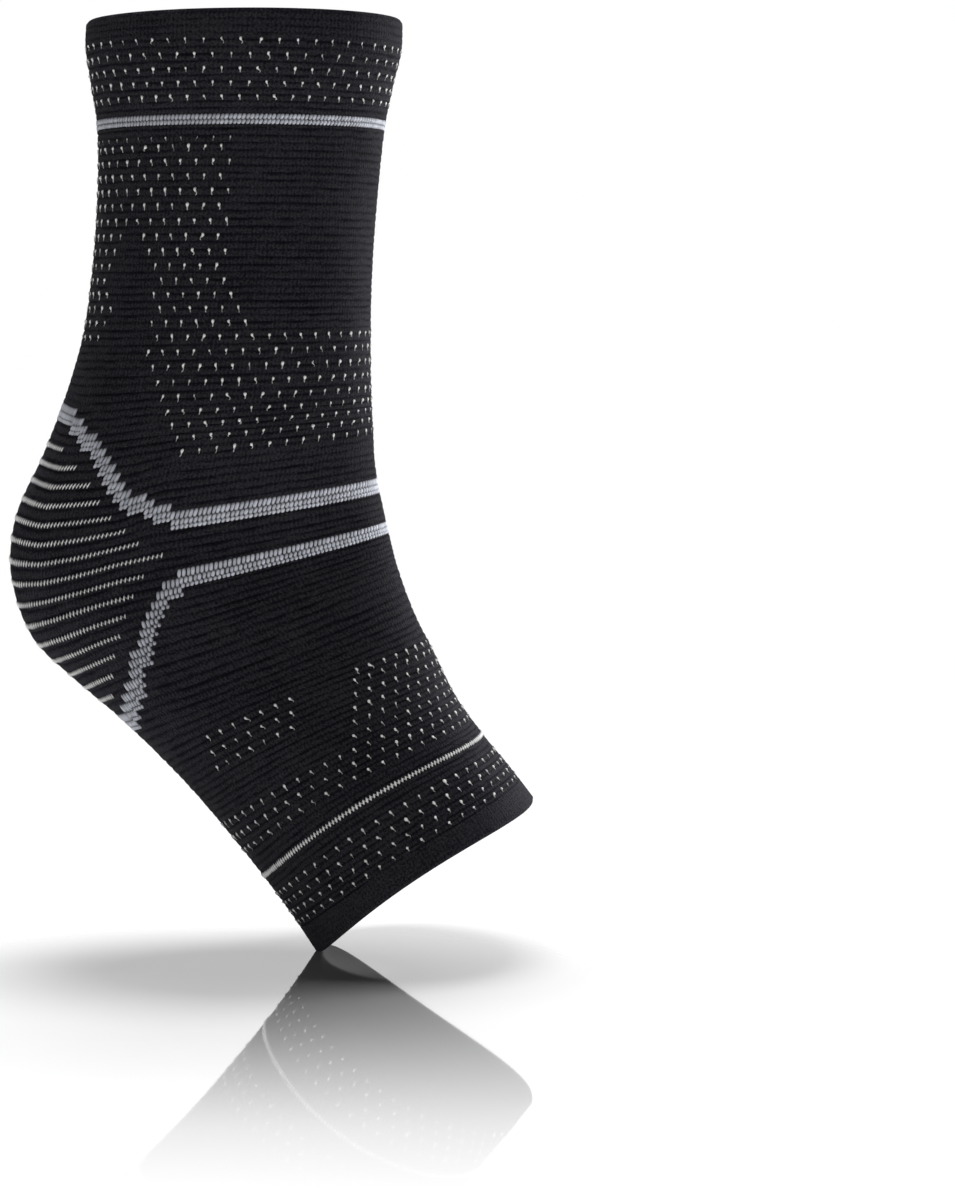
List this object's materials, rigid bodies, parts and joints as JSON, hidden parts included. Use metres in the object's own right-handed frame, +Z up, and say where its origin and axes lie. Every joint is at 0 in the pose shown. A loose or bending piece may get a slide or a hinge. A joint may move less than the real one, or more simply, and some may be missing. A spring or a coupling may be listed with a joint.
{
  "type": "ankle compression sleeve",
  "caption": "Knitted tubular ankle sleeve with a flared cuff, a shaped heel pocket, an open toe end and grey contour bands round the heel.",
  "frame": {"origin": "centre of the ankle, in the middle plane of the sleeve, 158 mm under the rim of the cuff", "axes": "+X to the toes, +Z up the leg, +Y across the foot; the sleeve is the same on both sides of the XZ plane"},
  "size_m": [0.1669, 0.09, 0.293],
  "materials": {
    "black_knit": "matte ribbed elastic knit",
    "grey_yarn": "matte grey knitted yarn",
    "light_yarn": "matte light grey knitted yarn"
  },
  "bodies": {
    "root": {"knit_sleeve": "black_knit", "cuff_stripe": "grey_yarn", "upper_contour_band": "grey_yarn", "lower_contour_band": "grey_yarn", "toe_stripe": "light_yarn", "heel_stripe_01": "light_yarn", "heel_stripe_02": "light_yarn", "heel_stripe_03": "light_yarn", "heel_stripe_04": "light_yarn", "heel_stripe_05": "light_yarn", "heel_stripe_06": "light_yarn", "heel_stripe_07": "light_yarn", "heel_stripe_08": "light_yarn", "heel_stripe_09": "light_yarn", "heel_stripe_10": "light_yarn", "heel_stripe_11": "light_yarn", "heel_stripe_12": "light_yarn", "heel_stripe_13": "light_yarn", "heel_stripe_14": "light_yarn", "heel_stripe_15": "light_yarn"}
  },
  "joints": []
}
